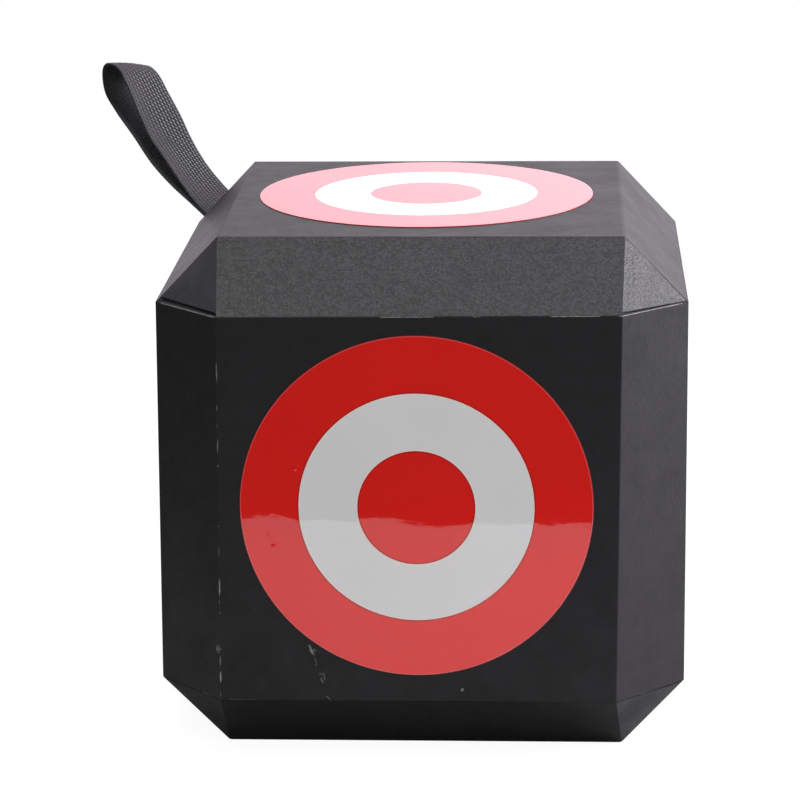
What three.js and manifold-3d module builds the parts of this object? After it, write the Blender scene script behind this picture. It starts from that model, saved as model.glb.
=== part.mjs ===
// Archery target boss: a cube of black foam with bevelled edges and cut corners, a round ring target on each
// of its six faces, and a carry loop of webbing. Millimetres, +Z up. The origin is on the ground under the
// middle of the block, and the main target face looks towards -Y.
import * as THREE from "three";
import { ConvexGeometry } from "three/addons/geometries/ConvexGeometry.js";
import { mergeVertices } from "three/addons/utils/BufferGeometryUtils.js";
import Module from "manifold-3d";

const wasm = await Module();
wasm.setup();

// The foam block, measured from its centre
const BLOCK_SIZE = 230;
const SIDE_INSET = 29; // from an upright face's edge to the block's outline
const CAP_INSET = 27.5; // the same on the top and the bottom face
const SKIN = 3; // thickness of the foam sheet all round
const SEAM = 0.3; // open seam between two pieces of sheet, and glue line behind them
const CORE_LAYERS = 4;

// The printed target labels
const LABEL_THICKNESS = 0.25;
const TARGET_DIAMETER = 152;
const RING_COUNT = 3; // outer ring, middle ring and bull, all of the same width
const LABEL_SEGMENTS = 64;
const FRONT_LABEL_DRIFT = [-1.5, 2]; // how far off the middle it is stuck, to the right and up
const TOP_LABEL_DRIFT = [-1.25, 7];

// The webbing loop, in a frame at the back left corner: n straight out, t up the corner, w across the band
const WEBBING_WIDTH = 25;
const WEBBING_THICKNESS = 1.5;
const PLY_GAP = 0.1; // between the two plies where they come out of the block
const SELVEDGE = 0.4; // chamfer on the band's edges
const STRAP_DROP = 1.8; // the doubled band's middle lies this far below the seam
const HINGE_OUT = 1.2; // where the band starts to bend, outside the seam
const HINGE_GAP = 0.3;
const SLOT_CLEARANCE = 0.3;
const TAIL_LENGTH = 40;
const LOOP_REACH = 105;
const LOOP_TWIST = THREE.MathUtils.degToRad(11); // turn of the band about its own length, at the tip
const LOOP_STEPS = 72;
const NOSE_SEGMENTS = 24;

const HALF = BLOCK_SIZE / 2;
const SIDE_HALF = HALF - SIDE_INSET;
const CAP_HALF = HALF - CAP_INSET;
const BLOCK_CENTRE = HALF + LABEL_THICKNESS;
const PLY_OFFSET = (WEBBING_THICKNESS + PLY_GAP) / 2;
const DOUBLED = WEBBING_THICKNESS + PLY_OFFSET * 2;

const foam = new THREE.MeshStandardMaterial({ color: 0x2b2a2c, roughness: 0.85, metalness: 0 });
const redPrint = new THREE.MeshStandardMaterial({ color: 0xc41f1b, roughness: 0.2, metalness: 0 });
const whitePrint = new THREE.MeshStandardMaterial({ color: 0xe6e6e4, roughness: 0.2, metalness: 0 });
const webbing = new THREE.MeshStandardMaterial({ color: 0x3a393d, roughness: 0.8, metalness: 0 });

// The loop's middle line from the lower ply at the block, round the tip and back along the upper ply
const LOOP_LINE = [
  [HINGE_OUT, -STRAP_DROP - PLY_OFFSET],
  [16, -5.2],
  [33, -8.9],
  [51, -11],
  [69, -9.5],
  [87, -8.2],
  [99.3, -5.8],
  [LOOP_REACH - WEBBING_THICKNESS / 2, 1],
  [101, 7.5],
  [94, 9],
  [80, 5.5],
  [66, 1.3],
  [54, -2.1],
  [42, -3.2],
  [28, -3.8],
  [13, -2.3],
  [HINGE_OUT, -STRAP_DROP + PLY_OFFSET],
];

// The block's outer corners. Each lies on one of the six square faces; the signs say in which octant.
const cornerOnX = (sx, sy, sz) => new THREE.Vector3(sx * HALF, sy * SIDE_HALF, sz * SIDE_HALF);
const cornerOnY = (sx, sy, sz) => new THREE.Vector3(sx * SIDE_HALF, sy * HALF, sz * SIDE_HALF);
const cornerOnZ = (sx, sy, sz) => new THREE.Vector3(sx * CAP_HALF, sy * CAP_HALF, sz * HALF);

// The plane through three corners, facing away from the block's centre.
function outerPlane(a, b, c) {
  const plane = new THREE.Plane().setFromCoplanarPoints(a, b, c);
  return plane.constant > 0 ? plane.negate() : plane;
}

const trianglePlane = (sx, sy, sz) =>
  outerPlane(cornerOnX(sx, sy, sz), cornerOnY(sx, sy, sz), cornerOnZ(sx, sy, sz));
const stripPlane = (sy, sz) => outerPlane(cornerOnY(-1, sy, sz), cornerOnY(1, sy, sz), cornerOnZ(1, sy, sz));
const sideBevelPlane = (sx, sz) =>
  outerPlane(cornerOnX(sx, -1, sz), cornerOnX(sx, 1, sz), cornerOnZ(sx, 1, sz));
const capPlane = (sz) => outerPlane(cornerOnZ(-1, -1, sz), cornerOnZ(1, -1, sz), cornerOnZ(1, 1, sz));
const uprightPlanes = () => {
  const planes = [];
  for (const s of [-1, 1]) {
    planes.push(new THREE.Plane(new THREE.Vector3(s, 0, 0), -HALF));
    planes.push(new THREE.Plane(new THREE.Vector3(0, s, 0), -HALF));
    for (const sx of [-1, 1]) {
      planes.push(outerPlane(cornerOnX(sx, s, -1), cornerOnX(sx, s, 1), cornerOnY(sx, s, 1)));
    }
  }
  return planes;
};

// A plane moved along its own normal towards the inside by depth.
const movedIn = (plane, depth) => new THREE.Plane(plane.normal.clone(), plane.constant + depth);

// A level plane at height z, which bounds what lies below it (side 1) or above it (side -1).
const levelPlane = (z, side) => new THREE.Plane(new THREE.Vector3(0, 0, side), -side * z);

// The point where three planes meet.
function meeting(a, b, c) {
  const bc = new THREE.Vector3().crossVectors(b.normal, c.normal);
  const ca = new THREE.Vector3().crossVectors(c.normal, a.normal);
  const ab = new THREE.Vector3().crossVectors(a.normal, b.normal);
  const volume = a.normal.dot(bc);
  if (Math.abs(volume) < 1e-9) return null;
  return bc
    .multiplyScalar(-a.constant)
    .addScaledVector(ca, -b.constant)
    .addScaledVector(ab, -c.constant)
    .divideScalar(volume);
}

// The convex body that lies behind every one of the planes.
function bodyBehind(planes) {
  const corners = [];
  for (let i = 0; i < planes.length; i++) {
    for (let j = i + 1; j < planes.length; j++) {
      for (let k = j + 1; k < planes.length; k++) {
        const point = meeting(planes[i], planes[j], planes[k]);
        const inside = point && planes.every((plane) => plane.distanceToPoint(point) < 1e-6);
        if (inside && !corners.some((other) => other.distanceTo(point) < 1e-3)) corners.push(point);
      }
    }
  }
  return new ConvexGeometry(corners);
}

// The plane in which a sheet's edge from a to b is mitred against its neighbour, less half the open seam.
// The sheet's own middle tells which side of the plane it lies on.
function mitre(a, b, ownNormal, neighbourNormal, middle) {
  const depth = ownNormal.clone().add(neighbourNormal);
  const plane = new THREE.Plane().setFromCoplanarPoints(a, b, a.clone().add(depth));
  if (plane.distanceToPoint(middle) > 0) plane.negate();
  return movedIn(plane, SEAM / 2);
}

const middleOf = (points) =>
  points.reduce((sum, p) => sum.add(p), new THREE.Vector3()).divideScalar(points.length);

// The rim plane on which the sheets above the side wrap stand, or under which those below it hang.
const rimPlane = (sz) => levelPlane(sz * (SIDE_HALF + SEAM), -sz);

// A flat piece of foam sheet behind its outer plane, with its edges cut in the given planes.
const sheetPiece = (outer, cuts) => bodyBehind([outer, movedIn(outer, SKIN).negate(), ...cuts]);

// The bevel in front of the top face (sy -1, sz 1), or its like behind it or at the bottom.
function stripGeometry(sy, sz) {
  const outer = stripPlane(sy, sz);
  const low = [-1, 1].map((sx) => cornerOnY(sx, sy, sz));
  const high = [-1, 1].map((sx) => cornerOnZ(sx, sy, sz));
  const middle = middleOf([...low, ...high]);
  const ends = [-1, 1].map((sx, i) =>
    mitre(low[i], high[i], outer.normal, trianglePlane(sx, sy, sz).normal, middle),
  );
  const capEdge = mitre(high[0], high[1], outer.normal, capPlane(sz).normal, middle);
  return sheetPiece(outer, [rimPlane(sz), capEdge, ...ends]);
}

// The triangle that closes one cut corner of the cube.
function triangleGeometry(sx, sy, sz) {
  const outer = trianglePlane(sx, sy, sz);
  const [onX, onY, onZ] = [cornerOnX, cornerOnY, cornerOnZ].map((corner) => corner(sx, sy, sz));
  const middle = middleOf([onX, onY, onZ]);
  return sheetPiece(outer, [
    rimPlane(sz),
    mitre(onX, onZ, outer.normal, sideBevelPlane(sx, sz).normal, middle),
    mitre(onY, onZ, outer.normal, stripPlane(sy, sz).normal, middle),
  ]);
}

// A closed body through sections of four corners each, given in the same order round.
function loft(sections) {
  const positions = [];
  const quad = (a, b, c, d) => [a, b, c, a, c, d].forEach((p) => positions.push(p.x, p.y, p.z));
  for (let s = 0; s + 1 < sections.length; s++) {
    for (let i = 0; i < 4; i++) {
      const next = (i + 1) % 4;
      quad(sections[s][i], sections[s][next], sections[s + 1][next], sections[s + 1][i]);
    }
  }
  quad(...sections[0].slice().reverse());
  quad(...sections.at(-1));
  const geometry = new THREE.BufferGeometry();
  geometry.setAttribute("position", new THREE.Float32BufferAttribute(positions, 3));
  geometry.computeVertexNormals();
  return geometry;
}

// One sheet bent over both folds of the cap: left bevel, top (or bottom) face, right bevel.
function capSheetGeometry(sz) {
  const cap = capPlane(sz);
  const section = (sx, atRim) => {
    const bevel = sideBevelPlane(sx, sz);
    const corners = [];
    for (const sy of [-1, 1]) {
      const low = cornerOnX(sx, sy, sz);
      const high = cornerOnZ(sx, sy, sz);
      const opposite = cornerOnZ(-sx, sy, sz);
      const middle = middleOf([low, high, cornerOnX(sx, -sy, sz), cornerOnZ(sx, -sy, sz)]);
      const bevelEdge = mitre(low, high, bevel.normal, trianglePlane(sx, sy, sz).normal, middle);
      const capEdge = mitre(high, opposite, cap.normal, stripPlane(sy, sz).normal, middle);
      const across = [0, SKIN].map((depth) =>
        atRim
          ? meeting(movedIn(bevel, depth), rimPlane(sz), bevelEdge)
          : meeting(movedIn(bevel, depth), movedIn(cap, depth), capEdge),
      );
      corners.push(...(sy < 0 ? across : across.reverse()));
    }
    return sz > 0 ? corners : corners.reverse();
  };
  return loft([section(-1, true), section(-1, false), section(1, false), section(1, true)]);
}

// The sheet bent round the eight upright walls, with a butt seam at the front left edge.
function wrapGeometry() {
  const ring = (half, edge) => [
    [edge, -half],
    [half, -edge],
    [half, edge],
    [edge, half],
    [-edge, half],
    [-half, edge],
    [-half, -edge],
  ];
  const innerHalf = HALF - SKIN;
  const innerEdge = SIDE_HALF - SKIN * Math.tan(Math.PI / 8);
  const slant = SEAM * Math.SQRT1_2;
  const outline = [
    [-SIDE_HALF, -HALF],
    ...ring(HALF, SIDE_HALF),
    [-SIDE_HALF - slant, -HALF + slant],
    [-innerEdge - slant, -innerHalf + slant],
    ...ring(innerHalf, innerEdge).reverse(),
    [-innerEdge, -innerHalf],
  ];
  const shape = new THREE.Shape(outline.map(([x, y]) => new THREE.Vector2(x, y)));
  const geometry = new THREE.ExtrudeGeometry(shape, { depth: 2 * SIDE_HALF, bevelEnabled: false });
  return geometry.translate(0, 0, -SIDE_HALF);
}

// One slab of the laminated core, counted from the bottom.
function slabGeometry(layer) {
  const depth = SKIN + SEAM;
  const faces = [capPlane(1), capPlane(-1), ...uprightPlanes()];
  for (const sz of [-1, 1]) {
    for (const s of [-1, 1]) {
      faces.push(stripPlane(s, sz), sideBevelPlane(s, sz));
      faces.push(trianglePlane(-1, s, sz), trianglePlane(1, s, sz));
    }
  }
  const pitch = (2 * (HALF - depth)) / CORE_LAYERS;
  const bottom = depth - HALF + layer * pitch;
  const planes = faces.map((face) => movedIn(face, depth));
  if (layer > 0) planes.push(levelPlane(bottom + SEAM / 2, -1));
  if (layer < CORE_LAYERS - 1) planes.push(levelPlane(bottom + pitch - SEAM / 2, 1));
  return bodyBehind(planes);
}

// The solid of a closed geometry, for joining and cutting.
function solidOf(geometry) {
  const bare = geometry.clone();
  bare.deleteAttribute("normal");
  bare.deleteAttribute("uv");
  const merged = mergeVertices(bare, 1e-4);
  return new wasm.Manifold(
    new wasm.Mesh({
      numProp: 3,
      vertProperties: merged.attributes.position.array,
      triVerts: new Uint32Array(merged.index.array),
    }),
  );
}

// The faceted geometry of a solid.
function geometryOf(solid) {
  const mesh = solid.getMesh();
  const geometry = new THREE.BufferGeometry();
  geometry.setAttribute("position", new THREE.BufferAttribute(mesh.vertProperties, 3));
  geometry.setIndex(new THREE.BufferAttribute(mesh.triVerts, 1));
  const faceted = geometry.toNonIndexed();
  faceted.computeVertexNormals();
  return faceted;
}

const cutAway = (geometry, tool) => geometryOf(solidOf(geometry).subtract(solidOf(tool)));

// The strap's own frame: x is n, y is t and z is w, at the middle of the seam under the corner triangle.
const strapFrame = new THREE.Matrix4()
  .makeBasis(
    new THREE.Vector3(-1, 1, 1).normalize(),
    new THREE.Vector3(1, -1, 2).normalize(),
    new THREE.Vector3(1, 1, 0).normalize(),
  )
  .setPosition(-(HALF + SIDE_HALF) / 2, (HALF + SIDE_HALF) / 2, SIDE_HALF);

// A box in the strap's frame, from its lowest to its highest n and t, as wide as the slot.
function slotBox(nLow, nHigh, tLow, tHigh) {
  const width = WEBBING_WIDTH + 2 * SLOT_CLEARANCE;
  return new THREE.BoxGeometry(nHigh - nLow, tHigh - tLow, width)
    .translate((nLow + nHigh) / 2, (tLow + tHigh) / 2, 0)
    .applyMatrix4(strapFrame);
}

const slotBottom = -STRAP_DROP - DOUBLED / 2 - SLOT_CLEARANCE;
const slotTop = -STRAP_DROP + DOUBLED / 2 + SLOT_CLEARANCE;
const tailStart = HINGE_OUT - DOUBLED / 2 - HINGE_GAP;
const slotEnd = tailStart - TAIL_LENGTH - SLOT_CLEARANCE;

// The slit pocket in the core that holds the buried tails.
const pocket = () => slotBox(slotEnd, SKIN, slotBottom, slotTop);

// The notch in the wrap's rim through which the doubled band comes out. It is open to the top.
const rimNotch = () => slotBox(-3 * SKIN, 2 * SKIN, slotBottom, 3 * SKIN);

// The band's cross-section, or that of its two plies stitched together: a grooved edge between plies.
function bandSection(plies) {
  const half = WEBBING_WIDTH / 2;
  const thickness = plies === 1 ? WEBBING_THICKNESS : DOUBLED;
  const edge = [];
  for (let ply = 0; ply < plies; ply++) {
    const low = -thickness / 2 + (ply * thickness) / plies;
    const high = low + thickness / plies;
    edge.push([half - SELVEDGE, low], [half, low + SELVEDGE], [half, high - SELVEDGE]);
  }
  edge.push([half - SELVEDGE, thickness / 2]);
  const back = edge.map(([x, y]) => [-x, -y]);
  return new THREE.Shape([...edge, ...back].map(([x, y]) => new THREE.Vector2(x, y)));
}

// The round nose in which the doubled band ends on either side of its bend.
function roundNose(n) {
  const length = WEBBING_WIDTH - 2 * SELVEDGE;
  return new THREE.CylinderGeometry(DOUBLED / 2, DOUBLED / 2, length, NOSE_SEGMENTS)
    .rotateX(Math.PI / 2)
    .translate(n, -STRAP_DROP, 0);
}

// The two tails of the webbing, stitched together, straight inwards from the seam.
function tailsGeometry() {
  const noseMiddle = tailStart - DOUBLED / 2;
  const depth = TAIL_LENGTH - DOUBLED / 2;
  const plies = new THREE.ExtrudeGeometry(bandSection(2), { depth, bevelEnabled: false })
    .rotateY(-Math.PI / 2)
    .translate(noseMiddle, -STRAP_DROP, 0);
  return geometryOf(solidOf(plies).add(solidOf(roundNose(noseMiddle))));
}

// Turns each point about the n axis, further the further out it lies.
function twistBand(geometry) {
  const positions = geometry.attributes.position;
  for (let i = 0; i < positions.count; i++) {
    const angle = (LOOP_TWIST * positions.getX(i)) / LOOP_REACH;
    const t = positions.getY(i);
    const w = positions.getZ(i);
    positions.setY(i, t * Math.cos(angle) - w * Math.sin(angle));
    positions.setZ(i, t * Math.sin(angle) + w * Math.cos(angle));
  }
  return geometry;
}

// The open loop: the band swept along its middle line, from a round nose that turns at the block.
function loopGeometry() {
  const line = new THREE.CatmullRomCurve3(LOOP_LINE.map(([n, t]) => new THREE.Vector3(n, t, 0)));
  const band = new THREE.ExtrudeGeometry(bandSection(1), { steps: LOOP_STEPS, extrudePath: line });
  return geometryOf(solidOf(twistBand(band)).add(solidOf(roundNose(HINGE_OUT))));
}

// One ring of a label, or its bull where the inner radius is 0, lying on the plane y = 0.
function ringGeometry(inner, outer) {
  const profile = [
    [inner, 0],
    [outer, 0],
    [outer, LABEL_THICKNESS],
    [inner, LABEL_THICKNESS],
  ];
  if (inner > 0) profile.push(profile[0]);
  return new THREE.LatheGeometry(profile.map(([r, y]) => new THREE.Vector2(r, y)), LABEL_SEGMENTS);
}

function addMesh(parent, name, geometry, material) {
  const mesh = new THREE.Mesh(geometry, material);
  mesh.name = name;
  parent.add(mesh);
}

function addSkins(block) {
  addMesh(block, "side_wrap", cutAway(wrapGeometry(), rimNotch()), foam);
  for (const [level, sz] of [["top", 1], ["bottom", -1]]) {
    addMesh(block, `${level}_sheet`, capSheetGeometry(sz), foam);
    for (const [depth, sy] of [["front", -1], ["back", 1]]) {
      addMesh(block, `${depth}_${level}_strip`, stripGeometry(sy, sz), foam);
      for (const [side, sx] of [["left", -1], ["right", 1]]) {
        addMesh(block, `${depth}_${side}_${level}_triangle`, triangleGeometry(sx, sy, sz), foam);
      }
    }
  }
}

function addCore(block) {
  for (let layer = 0; layer < CORE_LAYERS; layer++) {
    const slab = slabGeometry(layer);
    const isTop = layer === CORE_LAYERS - 1;
    addMesh(block, `core_slab_${layer + 1}`, isTop ? cutAway(slab, pocket()) : slab, foam);
  }
}

// Each face: its outward, right and up directions as one looks at it, and how far its label has drifted.
const FACES = {
  front: { out: [0, -1, 0], right: [1, 0, 0], up: [0, 0, 1], drift: FRONT_LABEL_DRIFT },
  back: { out: [0, 1, 0], right: [-1, 0, 0], up: [0, 0, 1], drift: [0, 0] },
  left: { out: [-1, 0, 0], right: [0, -1, 0], up: [0, 0, 1], drift: [0, 0] },
  right: { out: [1, 0, 0], right: [0, 1, 0], up: [0, 0, 1], drift: [0, 0] },
  top: { out: [0, 0, 1], right: [1, 0, 0], up: [0, 1, 0], drift: TOP_LABEL_DRIFT },
  bottom: { out: [0, 0, -1], right: [1, 0, 0], up: [0, -1, 0], drift: [0, 0] },
};

function addLabels(block) {
  const ringWidth = TARGET_DIAMETER / 2 / RING_COUNT;
  const rings = ["bull", "middle_ring", "outer_ring"];
  for (const [face, { out, right, up, drift }] of Object.entries(FACES)) {
    const [outward, across, upward] = [out, right, up].map((v) => new THREE.Vector3(...v));
    const label = new THREE.Group();
    const basis = new THREE.Matrix4().makeBasis(across, outward, across.clone().cross(outward));
    label.quaternion.setFromRotationMatrix(basis);
    label.position
      .addScaledVector(outward, HALF)
      .addScaledVector(across, drift[0])
      .addScaledVector(upward, drift[1]);
    block.add(label);
    rings.forEach((ring, i) => {
      const geometry = ringGeometry(i * ringWidth, (i + 1) * ringWidth);
      addMesh(label, `${face}_${ring}`, geometry, ring === "middle_ring" ? whitePrint : redPrint);
    });
  }
}

function addStrap(block) {
  const strap = new THREE.Group();
  strap.applyMatrix4(strapFrame);
  block.add(strap);
  addMesh(strap, "strap_tails", tailsGeometry(), webbing);
  addMesh(strap, "strap_loop", loopGeometry(), webbing);
}

const group = new THREE.Group();
const block = new THREE.Group();
block.position.z = BLOCK_CENTRE;
group.add(block);
addSkins(block);
addCore(block);
addLabels(block);
addStrap(block);

export default group;
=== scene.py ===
"""Dresses the archery target boss for its picture: foam sheets, ring labels and the webbing carry loop.

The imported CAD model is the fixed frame. Each foam sheet, label ring and the webbing is modelled round it,
in metres, with +Z up and the main target face towards -Y.
"""

import math

import bmesh
import bpy
import numpy as np
from mathutils import Matrix, Vector, noise


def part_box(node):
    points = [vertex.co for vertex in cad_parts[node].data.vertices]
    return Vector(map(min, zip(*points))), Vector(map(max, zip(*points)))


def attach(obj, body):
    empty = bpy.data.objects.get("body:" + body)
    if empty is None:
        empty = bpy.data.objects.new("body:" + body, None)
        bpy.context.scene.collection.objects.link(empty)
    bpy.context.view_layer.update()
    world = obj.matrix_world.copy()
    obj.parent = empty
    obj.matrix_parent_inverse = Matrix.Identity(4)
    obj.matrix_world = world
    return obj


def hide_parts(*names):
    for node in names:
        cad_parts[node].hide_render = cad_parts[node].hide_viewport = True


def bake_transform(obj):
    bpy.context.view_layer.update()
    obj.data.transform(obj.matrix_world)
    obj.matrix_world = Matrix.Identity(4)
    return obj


bl_info = {
    "name": "Target boss dressing",
    "version": (1, 0, 0),
    "blender": (4, 5, 0),
    "location": "View3D > Sidebar > Target boss",
    "description": "Foam sheets, ring labels and a webbing carry loop round the frame of a target boss",
    "category": "Object",
}

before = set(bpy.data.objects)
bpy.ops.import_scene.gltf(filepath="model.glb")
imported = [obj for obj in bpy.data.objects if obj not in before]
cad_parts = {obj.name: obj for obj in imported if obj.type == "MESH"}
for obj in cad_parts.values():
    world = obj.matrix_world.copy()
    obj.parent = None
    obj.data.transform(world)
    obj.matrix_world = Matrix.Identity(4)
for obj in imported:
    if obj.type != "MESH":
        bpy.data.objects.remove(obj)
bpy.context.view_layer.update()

MM = 0.001
LEVELS = ("top", "bottom")
DEPTHS = ("front", "back")

# The block, read from the frame
WRAP_LOW, WRAP_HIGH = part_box("side_wrap")
BLOCK_CENTRE = (WRAP_LOW + WRAP_HIGH) / 2
HALF = (WRAP_HIGH.x - WRAP_LOW.x) / 2
SIDE_HALF = (WRAP_HIGH.z - WRAP_LOW.z) / 2

# How the faces and edges of a sheet are told apart and rounded
OUTSIDE = 100 * MM  # a face whose plane lies further than this from the block's centre is an outer one
CUT = 95 * MM  # and one whose plane lies nearer than this, on either side, is a cut edge
SHARP_BEND = 0.2  # radians between two outer faces, above which their edge is a fold
UPRIGHT = 0.5  # a cut edge of the wrap whose normal rises less than this runs up the block
LEVEL_RUN = 0.9  # an edge that climbs less than this share of its length counts as a rim
FOLD_STEPS = 6
EDGE_STEPS = 3
FINE_EDGE_STEPS = 2
RIM_SLOT = 1
CUT_SLOT = 2

# How a corner triangle is bowed
BOW_CUTS = 13
BOW_FADE = 5 * MM
DENT_SIZE = 11 * MM
DENT_SHARE = 0.5

# The webbing, in its own frame, in millimetres: n straight out of the corner, t up it, w across the band
SEAM_POINT = Vector((-(HALF + SIDE_HALF) / 2, (HALF + SIDE_HALF) / 2, BLOCK_CENTRE.z + SIDE_HALF))
STRAP_OUT = Vector((-1, 1, 1)).normalized()
STRAP_UP = Vector((1, -1, 2)).normalized()
STRAP_ACROSS = Vector((1, 1, 0)).normalized()
PLY_HEIGHTS = (-2.6, -1.0)  # the middle of the lower and of the upper ply, along t
TAIL_END = -40.6
TAIL_LINE = (TAIL_END, -20, -8, -3)  # places along n that each buried tail runs through
# The loop's middle line at its near selvedge (n, t) and at its far one (n, t), from lower to upper ply
LOOP_LINES = (
    (1.2, -2.6, 1.2, -2.6),
    (16, -5.0, 16, -5.6),
    (33, -8.2, 33, -9.6),
    (51, -9.7, 51, -12.1),
    (69, -8.2, 69, -11.0),
    (87, -7.2, 87, -10.1),
    (98.8, -4.7, 99.3, -8.0),
    (105.4, 2.4, 104.2, -1.4),
    (105.2, 7.3, 102.0, 4.7),
    (97.0, 11.9, 94, 7.3),
    (85, 9.3, 81, 4.7),
    (71, 3.9, 67.5, 1.6),
    (58, 0.1, 55, -2.3),
    (45, -0.8, 42, -4.6),
    (28, -2.3, 28, -4.8),
    (13, -2.5, 13, -3.2),
    (1.2, -1.0, 1.2, -1.0),
)
LINE_STEPS = 40  # points between two of these
AIM_STEP = 0.2  # how far ahead and behind the band's direction is read
CROWN = 0.8  # how far the loop's nose bulges between its selvedges
CROWN_REACH = 16  # how far along the webbing the bulge fades out

# The weave, in millimetres and shares
WEAVE_CELLS = (660, 68)  # cells of the mesh, along and across
TAIL_SHARE = 0.03  # share of the mesh's cells that each buried tail gets
SELVEDGE = 1.1
LIP = 0.42  # half the webbing's thickness at the very edge of a selvedge
KNOT_SHARE = (0.88, 0.96)  # how much of its cell a knot fills, across and along
KNOT_SLANT = 0.25  # how far along its cell a knot shifts from one side of a rib to the other
CORD_HEIGHT = (0.82, 0.16)  # the selvedge's mean height and its swing
LEAST_CRISP = 0.3  # how crisp the knots are close to the block
INNER_RELIEF = 0.2
OUTER_RELIEF = 0.55  # relief of the outer side where it isn't crisp
BURIED_RELIEF = 0.35
BURIED_FADE = 2  # how far out of the block the relief is whole

# Each face: outward and right directions as one looks at it. The label's middle comes from its bull's box.
FACES = {
    "front": ((0, -1, 0), (1, 0, 0)),
    "back": ((0, 1, 0), (-1, 0, 0)),
    "left": ((-1, 0, 0), (0, -1, 0)),
    "right": ((1, 0, 0), (0, 1, 0)),
    "top": ((0, 0, 1), (1, 0, 0)),
    "bottom": ((0, 0, -1), (1, 0, 0)),
}
INNER_LINE_SLOT = 2
OUTER_LINE_SLOT = 3
FACING_UP = 0.9  # least share of a face's normal along +Z on the printed side of a ring
STEEP = 1.0  # radians between two faces of a label at its cut corner, at least

# Each corner triangle, in millimetres: how far its edge stands off the rim next to the strip and at the other
# end, and off the cap at that end. A split one shows the inside of the sheet instead of its skin.
# Each finish's shade also stands in for light: lighter where a triangle lies in shade and darker where it is
# brightly lit
TRIANGLES = {
    "front_left_top": (1.5, 2.1, 0.0, "triangle"),
    "front_right_top": (1.1, 0.3, 0.5, "split"),
    "back_left_top": (0.3, 0.3, 0.2, "split"),
    "back_right_top": (1.1, 0.8, 0.3, "triangle"),
    "front_left_bottom": (0.05, 0.05, 0.05, "dull"),
    "front_right_bottom": (0.1, 0.8, 0.3, "plain"),
    "back_left_bottom": (0.8, 0.4, 0.3, "dull"),
    "back_right_bottom": (0.3, 0.6, 0.2, "split"),
}
RIM_BAND = 2 * MM  # corners of a triangle that lie this close to its lowest or highest one are at the rim

# How far the real block's upright folds stray from the regular ones, in millimetres: for the fold at (x, y),
# its shift in (x, z) at the bottom and at the top
FRONT_LEFT_FOLD = (-86, -115)
LEFT_FRONT_FOLD = (-115, -86)
STRAYS = {
    FRONT_LEFT_FOLD: ((-1.9, 0), (0.3, -0.35)),
    (86, -115): ((-1.4, 0), (0.1, 0.55)),
    LEFT_FRONT_FOLD: ((-1.9, 0), (0, 0)),
    (-115, 86): ((-1.9, 0), (0, 0)),
    (-86, 115): ((-1.9, 0), (0, 0)),
}
STRAY_REACH = 12 * MM

# Stretches of the rims that are pale at the front: from x to x in millimetres, and how pale
# The pale colour is partly rubbed wear and partly a painted highlight, light enough to show on rims in shade
PALE_TOP = ((-112, -86.6, 1.1), (-16, 6.4, 0.9), (23.3, 26.2, 0.8), (56.1, 76.7, 0.9), (84.5, 112, 1.1))
PALE_BOTTOM = ((-96.5, -93, 1.5), (-84.3, -72.5, 0.55), (95.5, 98.7, 0.4))
PALE_CAP = ((-114, -87.8, 1.6),)
PALE_END = 0.5 * MM  # half the length over which such a stretch starts and ends

# Dried glue along the upright fold at the front left: from z to z and its width in millimetres, and how pale
FOLD_GLUE = (
    (182.0, 172.0, 0.5, 0.7),
    (163.3, 159.8, 0.4, 0.4),
    (154.5, 152.3, 0.4, 0.3),
    (148.4, 140.4, 0.5, 0.6),
    (136.3, 135.1, 0.7, 0.5),
    (109.2, 108.0, 0.7, 0.4),
    (100.0, 93.9, 0.4, 0.3),
    (85.5, 76.3, 0.6, 1.0),
    (76.0, 71.5, 0.5, 0.2),
    (70.2, 68.5, 0.6, 0.3),
    (50.6, 44.0, 0.6, 0.35),
    (42.8, 36.6, 0.7, 1.0),
    (34.3, 29.6, 0.4, 0.2),
)
# Dried glue on the front face: from (x, z) to (x, z), its width and how pale it is
FACE_GLUE = (
    (-88.9, 54.3, -88.9, 50.6, 0.8, 0.55),
    (-87.9, 54.5, -87.3, 51.4, 1.0, 0.2),
    (-89.0, 51.2, -87.2, 50.8, 0.9, 0.5),
    (-49.3, 55.2, -46.4, 49.8, 1.1, 0.6),
    (-47.2, 53.4, -45.2, 52.0, 0.9, 0.15),
    (-46.6, 50.6, -45.3, 43.6, 0.7, 0.08),
    (-45.4, 41.8, -41.3, 41.2, 1.0, 0.12),
    (-42.8, 40.6, -42.2, 38.0, 1.3, 0.08),
    (-44.6, 40.0, -42.4, 37.2, 1.1, 0.22),
    (-41.9, 32.0, -39.2, 28.9, 0.8, 0.08),
    (16.9, 34.9, 18.4, 34.3, 1.3, 0.6),
)
GLUE_SUNK = 0.1  # how far behind the fold a bead's middle lies
GLUE_HEIGHT = 0.16  # how far it stands proud of its middle
GLUE_SIDE = 0.8  # half its breadth on the mesh, times the width
GLUE_SWELL = (0.9, 0.6, 1.9)  # its mean breadth, how far that swings, and the length of a swing
GLUE_DRIFT = (0.4, 3.1)  # how far it drifts sideways, times the width, and the length of a drift
GLUE_TIP = 0.05  # least breadth of its round section that the cover is reckoned with

# Each soft box: the direction in which it stands from the block, its distance and side in metres, its colour
WARM = (1.0, 0.975, 1.025)
NEUTRAL = (1, 1, 1)
LAMPS = {
    "side": ((0.93, 0.05, 0.34), 1.5, 1.05, WARM),
    "key": ((0.80, 0.12, 0.62), 1.6, 0.7, WARM),
    "slant": ((0.74, -0.64, 0.28), 1.6, 0.9, NEUTRAL),
    "overhead": ((-0.05, -0.12, 1.0), 1.6, 1.2, NEUTRAL),
    "fill": ((-0.1, -0.70, 0.72), 2.0, 1.2, NEUTRAL),
    "rear": ((-0.60, 0.65, 0.5), 2.0, 1.2, NEUTRAL),
}

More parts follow.
